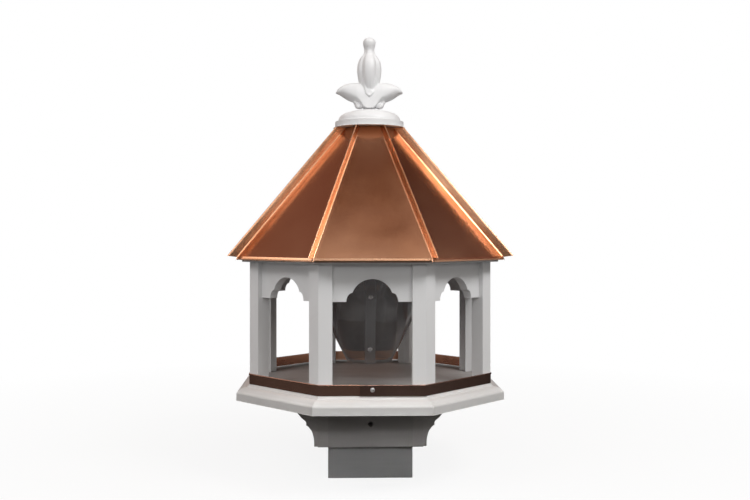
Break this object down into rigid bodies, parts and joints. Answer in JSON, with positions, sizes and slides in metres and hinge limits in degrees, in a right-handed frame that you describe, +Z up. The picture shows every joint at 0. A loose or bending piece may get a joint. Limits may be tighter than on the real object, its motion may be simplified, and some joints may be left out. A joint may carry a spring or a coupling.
{
  "type": "gazebo bird feeder",
  "caption": "Octagonal gazebo bird feeder: copper seam roof, arched bays, clear funnel hopper filled under a lift-off finial cap, and a square sleeve that drops over a timber post.",
  "frame": {"origin": "centre of the sleeve's bottom rim, on the axis of the post", "axes": "+Z up the post to the finial, -Y the front, where the funnel's lapped seam faces"},
  "size_m": [0.3912, 0.3912, 0.6224],
  "materials": {
    "copper": "bright satin copper sheet",
    "white_vinyl": "satin white board and extrusion",
    "white_cast": "satin white moulding",
    "grey_board": "satin grey board",
    "clear_sheet": "clear rolled sheet",
    "wood": "planed pine",
    "steel": "stainless",
    "aluminium": "bright rivet"
  },
  "bodies": {
    "feeder": {"apex_collar": "wood", "arch_board_back": "white_vinyl", "arch_board_back_left": "white_vinyl", "arch_board_back_right": "white_vinyl", "arch_board_front": "white_vinyl", "arch_board_front_left": "white_vinyl", "arch_board_front_right": "white_vinyl", "arch_board_left": "white_vinyl", "arch_board_right": "white_vinyl", "collar_back": "grey_board", "collar_front": "grey_board", "collar_left": "grey_board", "collar_right": "grey_board", "corbel_left": "grey_board", "corbel_right": "grey_board", "corner_post_back_left": "white_vinyl", "corner_post_back_right": "white_vinyl", "corner_post_front_left": "white_vinyl", "corner_post_front_right": "white_vinyl", "corner_post_left_back": "white_vinyl", "corner_post_left_front": "white_vinyl", "corner_post_right_back": "white_vinyl", "corner_post_right_front": "white_vinyl", "floor_board": "grey_board", "hip_rafters": "wood", "hopper_cone": "clear_sheet", "hopper_rivets": "aluminium", "hopper_tab_screws": "steel", "post_screws": "steel", "rail_screws": "steel", "roof_base_board": "white_vinyl", "roof_panel_back": "copper", "roof_panel_back_left": "copper", "roof_panel_back_right": "copper", "roof_panel_front": "copper", "roof_panel_front_left": "copper", "roof_panel_front_right": "copper", "roof_panel_left": "copper", "roof_panel_right": "copper", "seed_rail_left": "copper", "seed_rail_right": "copper", "sleeve_back": "grey_board", "sleeve_front": "grey_board", "sleeve_left": "grey_board", "sleeve_right": "grey_board", "tray_moulding_back": "white_vinyl", "tray_moulding_back_left": "white_vinyl", "tray_moulding_back_right": "white_vinyl", "tray_moulding_front": "white_vinyl", "tray_moulding_front_left": "white_vinyl", "tray_moulding_front_right": "white_vinyl", "tray_moulding_left": "white_vinyl", "tray_moulding_right": "white_vinyl"},
    "finial_cap": {"finial_base": "white_cast", "finial": "white_cast", "finial_plug": "wood", "finial_stud": "steel", "finial_nut": "steel"}
  },
  "joints": [
    {"name": "finial_lift", "type": "slide", "parent": "feeder", "child": "finial_cap", "axis": [0, 0, 1], "range_m": [0, 0.06]}
  ]
}
